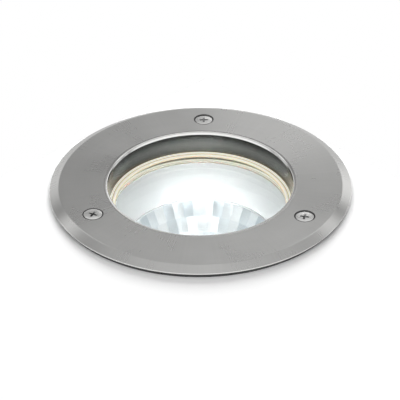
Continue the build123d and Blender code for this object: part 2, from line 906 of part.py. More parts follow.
with BuildPart() as blanking_plug:
    with BuildSketch(Plane((-entry_x, entry_y, oring_foot))):
        Circle(entry_r)
    extrude(amount=oring_t + floor_t + plug_in)
    with BuildSketch(Plane((-entry_x, entry_y, oring_foot))):
        RegularPolygon(entry_hex, 6)
    extrude(amount=-plug_hex_h)
    with BuildSketch(Plane((-entry_x, entry_y, oring_foot - plug_hex_h))):
        Rectangle(plug_slot_l, plug_slot_w)
    extrude(amount=plug_slot_w, mode=Mode.SUBTRACT)
blanking_plug.part.label = "blanking_plug"
export_step(blanking_plug.part, "parts/blanking_plug.step")

# Housing: flange with three bosses, glass seat, tapered pot and cooling ribs in one casting
head_r = housing_bore_r + head_wall
pot_top = -head_h - head_slope
seat_r = housing_bore_r - seat_w
seat_foot = seat_top - seat_t
with BuildPart() as housing:
    revolve(outline(
        (housing_bore_r, 0),
        (flange_r, 0),
        (flange_r, -flange_h),
        (head_r, -flange_h),
        (head_r, -head_h),
        (pot_top_r, pot_top),
        (pot_foot_r, floor_foot + pot_edge),
        (pot_foot_r - pot_edge, floor_foot),
        (0, floor_foot),
        (0, floor_z),
        (pot_foot_r - pot_wall, floor_z),
        (pot_top_r - pot_wall, seat_foot - seat_slope),
        (seat_r, seat_foot),
        (seat_r, seat_top),
        (housing_bore_r, seat_top),
    ), axis=Axis.Z)
    with BuildSketch(Plane.XY):
        with PolarLocations(screw_circle, len(screw_angles), start_angle=screw_angles["back"]):
            Circle(boss_r)
    extrude(amount=-head_h)
    fin_planes = [Plane.XZ.rotated((0, 0, 360.0 / fin_count * n)) for n in range(fin_count)]
    with BuildSketch(*fin_planes):
        with BuildLine():
            Polyline(
                (pot_top_r - pot_wall / 2, pot_top - fin_set),
                (pot_top_r + fin_out, pot_top - fin_set - fin_slope),
                (pot_foot_r + fin_out, floor_foot + fin_lift + fin_slope),
                (pot_foot_r - pot_wall / 2, floor_foot + fin_lift),
                close=True,
            )
        make_face()
    extrude(amount=fin_t / 2, both=True)
    with BuildSketch(Plane.XY):
        with PolarLocations(screw_circle, len(screw_angles), start_angle=screw_angles["back"]):
            Circle(insert_r)
    extrude(amount=insert_foot, mode=Mode.SUBTRACT)
    with BuildSketch(Plane.XY.offset(insert_foot)):
        with PolarLocations(screw_circle, len(screw_angles), start_angle=screw_angles["back"]):
            Circle(screw_hole_r)
    extrude(amount=screw_foot - tip_room - insert_foot, mode=Mode.SUBTRACT)
    with BuildSketch(Plane.XY.offset(floor_z)):
        with Locations(*entry_places):
            Circle(entry_r + run_gap)
    extrude(amount=-floor_t, mode=Mode.SUBTRACT)
    with BuildSketch(Plane.XY.offset(floor_z)):
        with Locations(*foot_places, (0, earth_y)):
            Circle(pan_shank_r + run_gap)
    extrude(amount=-floor_hole_h, mode=Mode.SUBTRACT)
housing.part.label = "housing"
export_step(housing.part, "parts/housing.step")

# Brass thread inserts in the three bosses
with BuildPart() as thread_inserts:
    with BuildSketch(Plane.XY.offset(-insert_set)):
        with PolarLocations(screw_circle, len(screw_angles), start_angle=screw_angles["back"]):
            Circle(insert_r)
            Circle(screw_r + run_gap, mode=Mode.SUBTRACT)
    extrude(amount=-insert_len)
thread_inserts.part.label = "thread_inserts"
export_step(thread_inserts.part, "parts/thread_inserts.step")

# Installation sleeve: an open tube with a rim, ribs, an anchor foot and two cable notches
sleeve_foot_top = sleeve_rim_h - sleeve_h
with BuildPart() as sleeve:
    revolve(outline(
        (sleeve_seat_r, 0),
        (sleeve_rim_r, 0),
        (sleeve_rim_r, -sleeve_rim_h),
        (sleeve_r + sleeve_taper, -sleeve_rim_h),
        (sleeve_r, -flange_h - sleeve_taper_h),
        (sleeve_r, sleeve_foot_top + sleeve_foot_slope),
        (sleeve_foot_r, sleeve_foot_top),
        (sleeve_foot_r, -sleeve_h),
        (sleeve_in_r, -sleeve_h),
        (sleeve_in_r, -flange_h),
        (sleeve_seat_r, -flange_h),
    ), axis=Axis.Z)
    rib_planes = [Plane.XZ.rotated((0, 0, 360.0 / rib_count * (n + 0.5))) for n in range(rib_count)]
    with BuildSketch(*rib_planes):
        with BuildLine():
            Polyline(
                (sleeve_r - rib_root, -sleeve_rim_h),
                (sleeve_r + rib_out, -sleeve_rim_h),
                (sleeve_r + rib_out, sleeve_foot_top),
                (sleeve_r - rib_root, sleeve_foot_top),
                close=True,
            )
        make_face()
    extrude(amount=rib_t / 2, both=True)
    with BuildSketch(Plane.XZ):
        with Locations((0, notch_rise - sleeve_h)):
            Circle(notch_r)
        with Locations((0, -sleeve_h)):
            Rectangle(2 * notch_r, 2 * notch_rise)
    extrude(amount=2 * sleeve_rim_r, both=True, mode=Mode.SUBTRACT)
sleeve.part.label = "sleeve"
export_step(sleeve.part, "parts/sleeve.step")
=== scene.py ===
import json
import math
from functools import reduce

import bmesh
import bpy
from mathutils import Matrix, Vector


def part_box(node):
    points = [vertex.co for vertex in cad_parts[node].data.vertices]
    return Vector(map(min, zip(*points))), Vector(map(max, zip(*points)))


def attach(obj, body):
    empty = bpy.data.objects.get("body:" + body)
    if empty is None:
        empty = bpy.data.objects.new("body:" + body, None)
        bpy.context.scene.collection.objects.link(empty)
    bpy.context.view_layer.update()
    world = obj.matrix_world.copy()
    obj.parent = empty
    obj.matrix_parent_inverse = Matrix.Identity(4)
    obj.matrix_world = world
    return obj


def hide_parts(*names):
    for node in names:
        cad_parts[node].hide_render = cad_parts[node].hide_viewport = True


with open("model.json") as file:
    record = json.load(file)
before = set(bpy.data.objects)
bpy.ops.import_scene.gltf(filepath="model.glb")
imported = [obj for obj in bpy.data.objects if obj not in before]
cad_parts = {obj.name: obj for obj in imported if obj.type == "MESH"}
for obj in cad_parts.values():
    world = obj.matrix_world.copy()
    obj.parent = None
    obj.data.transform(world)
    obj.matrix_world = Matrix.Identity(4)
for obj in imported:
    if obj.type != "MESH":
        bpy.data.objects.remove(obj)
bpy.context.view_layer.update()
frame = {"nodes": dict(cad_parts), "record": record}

# Sizes in metres, taken from the frame where a box gives them
MM = 0.001
ring_low, ring_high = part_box("trim_ring")
ring_r = ring_high.x
ring_top = ring_high.z
collar_foot = ring_low.z
gasket_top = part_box("ring_gasket")[1].z
glass_low, glass_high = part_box("glass")
cone_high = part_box("reflector_cone")[1]
lens_low, lens_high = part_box("lamp_lens")
bowl_low, bowl_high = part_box("lamp_reflector")
cap_low, cap_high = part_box("lamp_cap")
coil_low, coil_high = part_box("lamp_filament")

# Trim ring
opening_r = 57.2 * MM
bevel_w = 5.7 * MM
flat_r = ring_r - bevel_w
edge_h = 0.6 * MM
edge_top = gasket_top + edge_h
wall_top_r = 56.5 * MM
wall_foot_r = 56.0 * MM
collar_r = 59.6 * MM
lip_h = 1.4 * MM
lip_round = 0.9 * MM
lip_polish_w = 0.6 * MM
ease_w = 2.6 * MM
ease_h = 0.2 * MM
ease_round = 9.0 * MM
bevel_round = 2.0 * MM
edge_round = 0.45 * MM
edge_foot_round = 0.15 * MM
edge_polish_w = 0.3 * MM
collar_round = 1.2 * MM
collar_foot_round = 0.3 * MM
wall_top_round = 0.25 * MM

# Countersinks in the ring, and how far their cutting tool reaches past it
sink_r = 6.3 * MM
sink_hole_r = 3.4 * MM
sink_rim_h = 0.2 * MM
sink_break = 0.05 * MM
sink_flare = 0.8 * MM
sink_past = 1.0 * MM
sink_zone_more = 0.1 * MM
sink_zone_below = 0.03 * MM

# Lips of the glass seal, by their distance from the axis
seal_r = 56.3 * MM
groove_r = seal_r - 1.6 * MM
seal_lip_r = seal_r - 3.8 * MM
under_lip_r = seal_lip_r + 1.2 * MM

# Ring screws, with the turn of each cross in degrees and the thread's shares of its pitch
screw_sides = ("back", "left", "right")
cross_turns = {"back": 2.0, "left": 64.0, "right": 77.0}
head_sunk = {"back": 0.3 * MM, "left": 0.0, "right": 0.3 * MM}
head_break_w = 0.3 * MM
head_round_w = 0.1 * MM
head_round_h = 0.06 * MM
head_rim_h = 0.25 * MM
shank_step_h = 0.7 * MM
plain_shank = 2.0 * MM
screw_pitch = 1.0 * MM
screw_crest_r = 3.0 * MM
screw_root_r = 2.45 * MM
thread_foot_share = 0.375
thread_flank_share = 0.3125
rows_per_turn = 10
tip_h = 0.6 * MM
tip_less = 0.3 * MM
cross_len = 5.4 * MM
cross_w = 1.25 * MM
cross_depth = 2.2 * MM
cross_knee = 0.45 * cross_depth
cross_knee_less = 0.55 * MM
cross_past = 0.4 * MM
cross_flare = 0.15 * MM
cross_taper = 0.06 * MM
cross_tip_taper = 0.16 * MM
cross_zone_from = 0.05 * MM
cross_zone_more = 0.1 * MM

# Reflector cone
cone_wall = 1.2 * MM
cone_top_r = 54.0 * MM
cone_foot_r = 46.2 * MM
cone_over_lens = 0.2 * MM
cone_roll_round = 0.4 * MM
cone_bend_round = 0.3 * MM
cone_edge_round = 0.1 * MM

# Lamp bowl
facet_rows = 5
facet_row_h = 9.0 * MM
facet_row_less = 0.9 * MM
facet_count = 42
row_drop_count = 6
facet_top = lens_low.z
facet_top_r = lens_high.x - 0.8 * MM
facet_swell = 0.2 * MM
row_edge = 0.02 * MM
bowl_depth = 43.2 * MM
bowl_wall = 2.8 * MM
burner_hole_r = 9.0 * MM
neck_top_r = 17.0 * MM
throat_rise = 9.0 * MM
lamp_rim_h = 3.0 * MM
lamp_rim_break = 0.4 * MM
lens_seat_r = lens_high.x + 0.2 * MM
lens_seat_break = 0.3 * MM
# Steps that spread the levels of painted light over the facets
golden_share = 0.618
row_painted_light_step = 0.37
first_painted_light = 0.5

# Lamp cap
cap_pitch = 3.63 * MM
cap_swell = 0.7 * MM
cap_wall = 0.6 * MM
cap_thread_top = cap_high.z - 2.4 * MM
cap_thread_foot = cap_low.z + 1.6 * MM
cap_run_out = 1.0 * MM
cap_rows = 72

# Filament
lead_x = 2.6 * MM
lead_foot = coil_low.z + 0.2 * MM
lead_bend = 1.0 * MM
coil_r = 0.7 * MM
wire_r = 0.14 * MM
coil_turns = 16
coil_steps = coil_turns * 14
coil_height = 9.0 * MM
coil_foot = coil_high.z - coil_height
coil_top_less = 0.4 * MM
lead_top_less = 0.6 * MM

# Floor
floor_hole_r = 90.8 * MM
floor_hole_more = 1.2 * MM
floor_reach = 3.0
floor_back = 134.0 * MM
floor_z = -1.0 * MM
floor_steps = 192

# Camera, fitted to the outlines of the ring and its opening in the photo, with angles in degrees
# and lens and sensor in millimetres
camera_distance = 1.181
camera_azimuth = 2.0
camera_elevation = 33.8
camera_roll = -0.59
camera_lens = 173.2
camera_sensor = 36.0
camera_near = 0.05
aim_below = 7.7 * MM
aim_left = 0.37 * MM


# Mesh helpers

def at(radius, angle, height):
    """A point at a distance and an angle from the axis."""
    return Vector((radius * math.cos(angle), radius * math.sin(angle), height))


def from_axis(point):
    """How far a point lies from the axis."""
    return math.hypot(point.x, point.y)


def rounded(corners, steps=5):
    """An outline of (radius, height) points from corners of (radius, height, rounding)."""
    points = []
    for i, (radius, height, bend) in enumerate(corners):
        here = Vector((radius, height))
        back = (Vector(corners[i - 1][:2]) - here).normalized()
        ahead = (Vector(corners[(i + 1) % len(corners)][:2]) - here).normalized()
        half = math.acos(max(-1.0, min(1.0, back.dot(ahead)))) / 2
        middle = here + (back + ahead).normalized() * bend / math.sin(half)
        first = here + back * bend / math.tan(half) - middle
        last = here + ahead * bend / math.tan(half) - middle
        start = math.atan2(first.y, first.x)
        sweep = (math.atan2(last.y, last.x) - start + math.pi) % math.tau - math.pi
        for step in range(steps + 1):
            angle = start + sweep * step / steps
            points.append(middle + bend * Vector((math.cos(angle), math.sin(angle))))
    return points


def bridge(bm, one, two):
    """A band of faces between two loops with as many points."""
    for k in range(len(one)):
        after = (k + 1) % len(one)
        bm.faces.new((one[k], one[after], two[after], two[k]))


def turned_mesh(outline, segments, shape=None, ring=True):
    """A shape turned about Z. A ring's outline is closed; otherwise it starts and ends on the axis."""
    bm = bmesh.new()
    inner = outline if ring else outline[1:-1]
    columns = []
    for n in range(segments):
        angle = math.tau * n / segments
        column = []
        for radius, height in inner:
            reach = shape(radius, height, angle) if shape else radius
            column.append(bm.verts.new(at(reach, angle, height)))
        columns.append(column)
    spans = len(inner) if ring else len(inner) - 1
    for n in range(segments):
        a = columns[n]
        b = columns[(n + 1) % segments]
        for i in range(spans):
            j = (i + 1) % len(inner)
            bm.faces.new((a[i], b[i], b[j], a[j]))
    if not ring:
        for end, row in ((outline[0], 0), (outline[-1], -1)):
            tip = bm.verts.new((0, 0, end[1]))
            for n in range(segments):
                bm.faces.new((tip, columns[n][row], columns[(n + 1) % segments][row]))
    bmesh.ops.recalc_face_normals(bm, faces=bm.faces)
    return bm


def loops_mesh(bm, loops):
    """A closed skin through loops with as many points, capped at both ends."""
    for one, two in zip(loops, loops[1:]):
        bridge(bm, one, two)
    bm.faces.new(loops[0])
    bm.faces.new(loops[-1])
    bmesh.ops.recalc_face_normals(bm, faces=bm.faces)
    return bm


def tube_mesh(points, radius, sides=10):
    """A round wire along a line of points, closed at both ends."""
    bm = bmesh.new()
    loops = []
    across = (points[1] - points[0]).orthogonal()
    for i, point in enumerate(points):
        along = (points[min(i + 1, len(points) - 1)] - points[max(i - 1, 0)]).normalized()
        across = (across - along * across.dot(along)).normalized()
        other = along.cross(across)
        loop = []
        for k in range(sides):
            angle = math.tau * k / sides
            loop.append(bm.verts.new(point + radius * (across * math.cos(angle) + other * math.sin(angle))))
        loops.append(loop)
    return loops_mesh(bm, loops)


def as_object(name, bm, place=(0, 0, 0)):
    """A mesh put into the scene at a place."""
    mesh = bpy.data.meshes.new(name)
    bm.to_mesh(mesh)
    bm.free()
    obj = bpy.data.objects.new(name, mesh)
    obj.location = place
    bpy.context.scene.collection.objects.link(obj)
    return obj


def cut(obj, tool):
    """Takes the tool's shape out of a piece and removes the tool."""
    bpy.context.view_layer.update()
    change = obj.modifiers.new("cut", "BOOLEAN")
    change.object = tool
    change.operation = "DIFFERENCE"
    change.solver = "EXACT"
    result = obj.evaluated_get(bpy.context.evaluated_depsgraph_get())
    mesh = bpy.data.meshes.new_from_object(result)
    obj.modifiers.clear()
    obj.data = mesh
    bpy.data.objects.remove(tool)


def finish_piece(obj, body, slot, stands_for, crease=30.0):
    """Smooth shading up to a crease angle, then the piece takes a CAD node's place on its body."""
    obj.data.shade_smooth()
    obj.data.set_sharp_from_angle(angle=math.radians(crease))
    obj.data.materials.clear()
    obj.data.materials.append(finishes[slot])
    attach(obj, body)
    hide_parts(stands_for)
    return obj


# Node helpers

def add_node(tree, kind, **settings):
    """A new node with its settings."""
    made = tree.nodes.new(kind)
    for key, value in settings.items():
        setattr(made, key, value)
    return made


def put(tree, socket, value):
    """Links an output to a socket, or sets the socket to a plain value."""
    if isinstance(value, bpy.types.NodeSocket):
        tree.links.new(value, socket)
    else:
        socket.default_value = value


def calc(tree, operation, first, second):
    """The output of a Math node."""
    made = add_node(tree, "ShaderNodeMath", operation=operation)
    put(tree, made.inputs[0], first)
    put(tree, made.inputs[1], second)
    return made.outputs[0]


def weighed(tree, *parts):
    """The sum of (value, share) pairs, each value times its share."""
    shares = [calc(tree, "MULTIPLY", value, share) for value, share in parts]
    return reduce(lambda total, share: calc(tree, "ADD", total, share), shares)


def span(tree, value, low, high):
    """A 0 to 1 value spread between two numbers."""
    made = add_node(tree, "ShaderNodeMapRange")
    put(tree, made.inputs["Value"], value)
    made.inputs["To Min"].default_value = low
    made.inputs["To Max"].default_value = high
    return made.outputs["Result"]


def mix(tree, factor, first, second, blend="MIX"):
    """Two colours joined in one of the Mix node's ways."""
    made = add_node(tree, "ShaderNodeMix", data_type="RGBA", blend_type=blend)
    put(tree, made.inputs["Factor"], factor)
    put(tree, made.inputs["A"], first)
    put(tree, made.inputs["B"], second)
    return made.outputs["Result"]


def tint(tree, value, dark, light):
    """A colour between two, by a 0 to 1 value."""
    return mix(tree, value, (*dark, 1.0), (*light, 1.0))


def grey(level):
    """A neutral colour."""
    return (level, level, level)


def ramp(tree, value, stops):
    """A colour that goes through stops of (0 to 1 value, colour), lowest first."""
    made = add_node(tree, "ShaderNodeValToRGB")
    put(tree, made.inputs[0], value)
    while len(made.color_ramp.elements) < len(stops):
        made.color_ramp.elements.new(0.5)
    for element, (share, colour) in zip(made.color_ramp.elements, stops):
        element.position = share
        element.color = (*colour, 1.0)
    return made.outputs["Color"]


def noise(tree, vector, scale, detail):
    """A noise value over a vector."""
    made = add_node(tree, "ShaderNodeTexNoise")
    put(tree, made.inputs["Vector"], vector)
    made.inputs["Scale"].default_value = scale
    made.inputs["Detail"].default_value = detail
    return made.outputs["Fac"]


def vector_calc(tree, operation, vector):
    """A Vector Math node fed with a vector."""
    made = add_node(tree, "ShaderNodeVectorMath", operation=operation)
    put(tree, made.inputs[0], vector)
    return made


def scaled(tree, vector, factor):
    """A vector times a number."""
    made = vector_calc(tree, "SCALE", vector)
    put(tree, made.inputs["Scale"], factor)
    return made.outputs["Vector"]


def flattened(tree, place):
    """The vector from the axis to a place."""
    made = vector_calc(tree, "MULTIPLY", place)
    made.inputs[1].default_value = (1, 1, 0)
    return made.outputs["Vector"]


def split(tree, vector):
    """The X, Y and Z of a vector."""
    made = add_node(tree, "ShaderNodeSeparateXYZ")
    put(tree, made.inputs[0], vector)
    return made.outputs


def object_place(tree):
    """The place on the surface in the piece's own frame."""
    return add_node(tree, "ShaderNodeTexCoord").outputs["Object"]


# Effects that several finishes share

def new_group(name, inputs, outputs):
    """An empty shader group with number sockets."""
    tree = bpy.data.node_groups.new(name, "ShaderNodeTree")
    for label in inputs:
        tree.interface.new_socket(label, in_out="INPUT", socket_type="NodeSocketFloat")
    for label in outputs:
        tree.interface.new_socket(label, in_out="OUTPUT", socket_type="NodeSocketFloat")
    return tree, add_node(tree, "NodeGroupInput").outputs, add_node(tree, "NodeGroupOutput").inputs


def lathe_lines_group():
    """Lines round the axis and streaks away from it, as left by brushing on a lathe."""
    tree, given, result = new_group(
        "lathe_lines", ["Lines per Metre", "Streaks"], ["Lines", "Streaks", "Patches"]
    )
    place = object_place(tree)
    flat = flattened(tree, place)
    reach = vector_calc(tree, "LENGTH", flat).outputs["Value"]
    way = vector_calc(tree, "NORMALIZE", flat).outputs["Vector"]
    depth = calc(tree, "ADD", reach, split(tree, place)["Z"])
    lines = add_node(tree, "ShaderNodeCombineXYZ")
    put(tree, lines.inputs["X"], calc(tree, "MULTIPLY", depth, given["Lines per Metre"]))
    around = split(tree, way)
    put(tree, lines.inputs["Y"], around["X"])
    put(tree, lines.inputs["Z"], around["Y"])
    put(tree, result["Lines"], noise(tree, lines.outputs[0], scale=1.0, detail=1.0))
    streaks = scaled(tree, way, given["Streaks"])
    put(tree, result["Streaks"], noise(tree, streaks, scale=1.0, detail=1.0))
    put(tree, result["Patches"], noise(tree, place, scale=45.0, detail=2.0))
    return tree


def grain_group():
    """A fine grain and a slow cloudiness over any surface."""
    tree, given, result = new_group("surface_grain", ["Grains per Metre"], ["Grain", "Cloud"])
    place = object_place(tree)
    fine = scaled(tree, place, given["Grains per Metre"])
    put(tree, result["Grain"], noise(tree, fine, scale=1.0, detail=4.0))
    put(tree, result["Cloud"], noise(tree, place, scale=28.0, detail=3.0))
    return tree


def place_group():
    """How far a surface is between two heights, and between two distances from the axis, 0 to 1."""
    tree, given, result = new_group("place_share", ["Low", "High"], ["Height", "Reach"])
    place = object_place(tree)
    reach = vector_calc(tree, "LENGTH", flattened(tree, place)).outputs["Value"]
    for label, value in (("Height", split(tree, place)["Z"]), ("Reach", reach)):
        made = add_node(tree, "ShaderNodeMapRange")
        put(tree, made.inputs["Value"], value)
        put(tree, made.inputs["From Min"], given["Low"])
        put(tree, made.inputs["From Max"], given["High"])
        put(tree, result[label], made.outputs["Result"])
    return tree


lathe_lines = lathe_lines_group()
surface_grain = grain_group()
place_share = place_group()


def effect(tree, group, **values):
    """The outputs of an effect placed in a finish with its own values."""
    made = add_node(tree, "ShaderNodeGroup", node_tree=group)
    for label, value in values.items():
        made.inputs[label.replace("_", " ")].default_value = value
    return made.outputs


def by_place(tree, measure, stops):
    """A colour that goes through stops of (height or reach, colour), lowest first."""
    low = stops[0][0]
    high = stops[-1][0]
    share = effect(tree, place_share, Low=low, High=high)[measure]
    return ramp(tree, share, [((level - low) / (high - low), colour) for level, colour in stops])


# Kinds of finish

def new_finish(name, **constants):
    """A material with a Principled shader whose plain sockets are set."""
    made = bpy.data.materials.new(name)
    made.use_nodes = True
    tree = made.node_tree
    tree.nodes.clear()
    shader = add_node(tree, "ShaderNodeBsdfPrincipled")
    tree.links.new(shader.outputs[0], add_node(tree, "ShaderNodeOutputMaterial").inputs["Surface"])
    for socket, value in constants.items():
        shader.inputs[socket.replace("_", " ")].default_value = value
    return made, tree, shader.inputs


def relief(tree, sockets, height, strength, distance):
    """A bump from a height value."""
    made = add_node(tree, "ShaderNodeBump")
    made.inputs["Strength"].default_value = strength
    made.inputs["Distance"].default_value = distance
    put(tree, made.inputs["Height"], height)
    put(tree, sockets["Normal"], made.outputs["Normal"])


def grained(name, dark, light, rough, grains, bump=0.15, **constants):
    """A finish with grain: colour between two tones, uneven roughness and a fine bump."""
    made, tree, sockets = new_finish(name, **constants)
    grain = effect(tree, surface_grain, Grains_per_Metre=grains)
    blend = weighed(tree, (grain["Grain"], 0.5), (grain["Cloud"], 0.5))
    put(tree, sockets["Base Color"], tint(tree, blend, dark, light))
    put(tree, sockets["Roughness"], span(tree, grain["Cloud"], *rough))
    relief(tree, sockets, grain["Grain"], strength=bump, distance=0.3 * MM)
    return made


def lathed(name, dark, light, rough, lines, streaks, bump=0.05, **constants):
    """A turned metal: lines round the axis and soft streaks away from it."""
    made, tree, sockets = new_finish(name, Metallic=1.0, **constants)
    marks = effect(tree, lathe_lines, Lines_per_Metre=lines, Streaks=streaks)
    blend = weighed(tree, (marks["Lines"], 0.25), (marks["Streaks"], 0.25), (marks["Patches"], 0.5))
    put(tree, sockets["Base Color"], tint(tree, blend, dark, light))
    wear = weighed(tree, (marks["Streaks"], 0.2), (marks["Patches"], 0.8))
    put(tree, sockets["Roughness"], span(tree, wear, *rough))
    relief(tree, sockets, marks["Lines"], strength=bump, distance=0.05 * MM)
    around = add_node(tree, "ShaderNodeTangent", direction_type="RADIAL", axis="Z")
    put(tree, sockets["Tangent"], around.outputs[0])
    return made


def wall_with_painted_shade(name):
    """Inside wall of the ring with light and shade painted by height: painted shade under the lip, and
    painted reflections lower down, lighter half way and warm next to the seal.
    """
    made, tree, sockets = new_finish(name, Metallic=1.0)
    marks = effect(tree, lathe_lines, Lines_per_Metre=2500.0, Streaks=8.0)
    put(tree, sockets["Base Color"], by_place(tree, "Height", (
        (collar_foot, (0.15, 0.138, 0.108)),
        (collar_foot + 1.8 * MM, (0.135, 0.13, 0.116)),
        (collar_foot + 4.0 * MM, (0.175, 0.172, 0.16)),
        (collar_foot + 6.5 * MM, (0.195, 0.192, 0.18)),
        (collar_foot + 9.4 * MM, (0.125, 0.124, 0.118)),
        (collar_foot + 11.0 * MM, (0.065, 0.065, 0.06)),
        (ring_top - lip_h, (0.05, 0.05, 0.047)),
    )))
    put(tree, sockets["Roughness"], span(tree, marks["Lines"], 0.16, 0.26))
    relief(tree, sockets, marks["Lines"], strength=0.02, distance=0.05 * MM)
    return made


def silicone_with_painted_glow(name):
    """Cream silicone, a little translucent, with a painted glow standing for the lamp's light in it, and
    painted shade in its groove, at its lip edges and where it meets the glass.
    """
    made, tree, sockets = new_finish(
        name, Subsurface_Weight=0.3, Subsurface_Scale=3.0 * MM, Emission_Strength=0.42
    )
    grain = effect(tree, surface_grain, Grains_per_Metre=2500.0)
    white = grey(1.0)
    black = grey(0.0)
    glass_side_painted_glow = (0.7, 0.69, 0.62)
    glass_side_base = (0.9, 0.89, 0.84)
    upper_lip_painted_glow = (0.85, 0.8, 0.65)
    bead_share = 0.6
    # Painted shade in the groove and at the inner edge of the upper lip, for both the colour and the glow
    bead_painted_shade = by_place(tree, "Reach", (
        (seal_lip_r, (0.5, 0.46, 0.36)),
        (seal_lip_r + 0.6 * MM, white),
        (groove_r - 0.7 * MM, white),
        (groove_r, (0.25, 0.22, 0.16)),
        (groove_r + 0.5 * MM, white),
        (seal_r, white),
    ))
    # Painted glow on the lower lip, with painted shade further out under the glass
    under = by_place(tree, "Reach", (
        (under_lip_r, (0.5, 0.48, 0.42)),
        (under_lip_r + 0.6 * MM, white),
        (under_lip_r + 2.6 * MM, white),
        (under_lip_r + 3.1 * MM, (0.1, 0.08, 0.05)),
        (under_lip_r + 5.0 * MM, (0.05, 0.04, 0.03)),
    ))
    # Painted glow along the side against the glass edge, with painted shade at the foot
    painted_glow_mask_below = by_place(tree, "Height", (
        (glass_low.z - 0.2 * MM, (0.08, 0.075, 0.05)),
        (glass_low.z - 0.1 * MM, glass_side_painted_glow),
        (glass_high.z - 0.1 * MM, glass_side_painted_glow),
        (glass_high.z, black),
    ))
    # Painted glow on the upper lips, with painted shade where they sit on the glass
    painted_glow_mask_above = by_place(tree, "Height", (
        (glass_high.z - 0.1 * MM, black),
        (glass_high.z, (0.01, 0.01, 0.005)),
        (glass_high.z + 0.4 * MM, (0.02, 0.015, 0.01)),
        (glass_high.z + 0.6 * MM, upper_lip_painted_glow),
        (collar_foot, upper_lip_painted_glow),
    ))
    # Base colour with painted shade at the foot and where the upper lip sits on the glass
    cream_with_painted_shade = by_place(tree, "Height", (
        (glass_low.z - 0.2 * MM, (0.5, 0.47, 0.38)),
        (glass_low.z - 0.1 * MM, glass_side_base),
        (glass_high.z - 0.1 * MM, glass_side_base),
        (glass_high.z, (0.06, 0.05, 0.03)),
        (glass_high.z + 0.4 * MM, (0.08, 0.07, 0.04)),
        (glass_high.z + 0.6 * MM, (0.88, 0.84, 0.68)),
        (collar_foot, (0.95, 0.92, 0.8)),
    ))
    shade = mix(tree, bead_share, (*white, 1.0), bead_painted_shade)
    put(tree, sockets["Base Color"], mix(tree, 1.0, shade, cream_with_painted_shade, "MULTIPLY"))
    painted_glow_above = mix(tree, 1.0, bead_painted_shade, painted_glow_mask_above, "MULTIPLY")
    painted_glow_below = mix(tree, 1.0, under, painted_glow_mask_below, "MULTIPLY")
    put(tree, sockets["Emission Color"], mix(tree, 1.0, painted_glow_above, painted_glow_below, "ADD"))
    put(tree, sockets["Roughness"], span(tree, grain["Cloud"], 0.2, 0.34))
    relief(tree, sockets, grain["Grain"], strength=0.04, distance=0.3 * MM)
    return made


def clear(name, colour, smear, **constants):
    """Clear glass with a faint uneven smear in its roughness."""
    made, tree, sockets = new_finish(name, Transmission_Weight=1.0, **constants)
    cloud = effect(tree, surface_grain, Grains_per_Metre=300.0)["Cloud"]
    put(tree, sockets["Base Color"], tint(tree, cloud, colour, grey(1.0)))
    put(tree, sockets["Roughness"], span(tree, cloud, 0.0, smear))
    return made


def lens_with_painted_glow(name):
    """Lens of the lamp: clear glass with a painted glow over the burner, fading away from the axis."""
    made = clear(name, (0.97, 0.99, 0.99), 0.03, IOR=1.47, Emission_Strength=0.09)
    tree = made.node_tree
    put(tree, tree.nodes["Principled BSDF"].inputs["Emission Color"], by_place(tree, "Reach", (
        (0.0, grey(1.0)),
        (18.0 * MM, grey(0.9)),
        (30.0 * MM, grey(0.3)),
        (40.0 * MM, grey(0.0)),
    )))
    return made


def striped(name, first, second):
    """Earth wire sleeving: two colours in lengthwise stripes."""
    made, tree, sockets = new_finish(name, Roughness=0.45)
    wave = add_node(tree, "ShaderNodeTexWave", bands_direction="X")
    put(tree, wave.inputs["Vector"], object_place(tree))
    wave.inputs["Scale"].default_value = 130.0
    wave.inputs["Distortion"].default_value = 1.5
    stripe = calc(tree, "GREATER_THAN", wave.outputs["Fac"], 0.5)
    put(tree, sockets["Base Color"], tint(tree, stripe, first, second))
    return made


def facets_with_painted_glow(name):
    """Mirror coating of the bowl with painted light: each facet gets its own level of painted reflection in
    its colour and of painted glow.
    """
    made, tree, sockets = new_finish(name, Metallic=1.0, Emission_Strength=0.16)
    grain = effect(tree, surface_grain, Grains_per_Metre=900.0)["Grain"]
    painted_light = add_node(tree, "ShaderNodeAttribute", attribute_name="facet_painted_light").outputs["Fac"]
    put(tree, sockets["Base Color"], tint(tree, painted_light, (0.6, 0.67, 0.71), (0.96, 0.98, 0.99)))
    put(tree, sockets["Roughness"], span(tree, grain, 0.31, 0.37))
    put(tree, sockets["Emission Color"], tint(tree, painted_light, (0.0, 0.03, 0.05), (0.94, 0.98, 1.0)))
    return made


def glowing(name, strength):
    """Burning tungsten, a little unevenly hot along the coil."""
    made, tree, sockets = new_finish(name, Metallic=1.0, Roughness=0.5, Emission_Strength=strength)
    grain = effect(tree, surface_grain, Grains_per_Metre=800.0)["Grain"]
    put(tree, sockets["Base Color"], tint(tree, grain, (0.3, 0.29, 0.28), grey(0.5)))
    put(tree, sockets["Emission Color"], tint(tree, grain, (1.0, 0.93, 0.82), (1.0, 0.98, 0.94)))
    return made


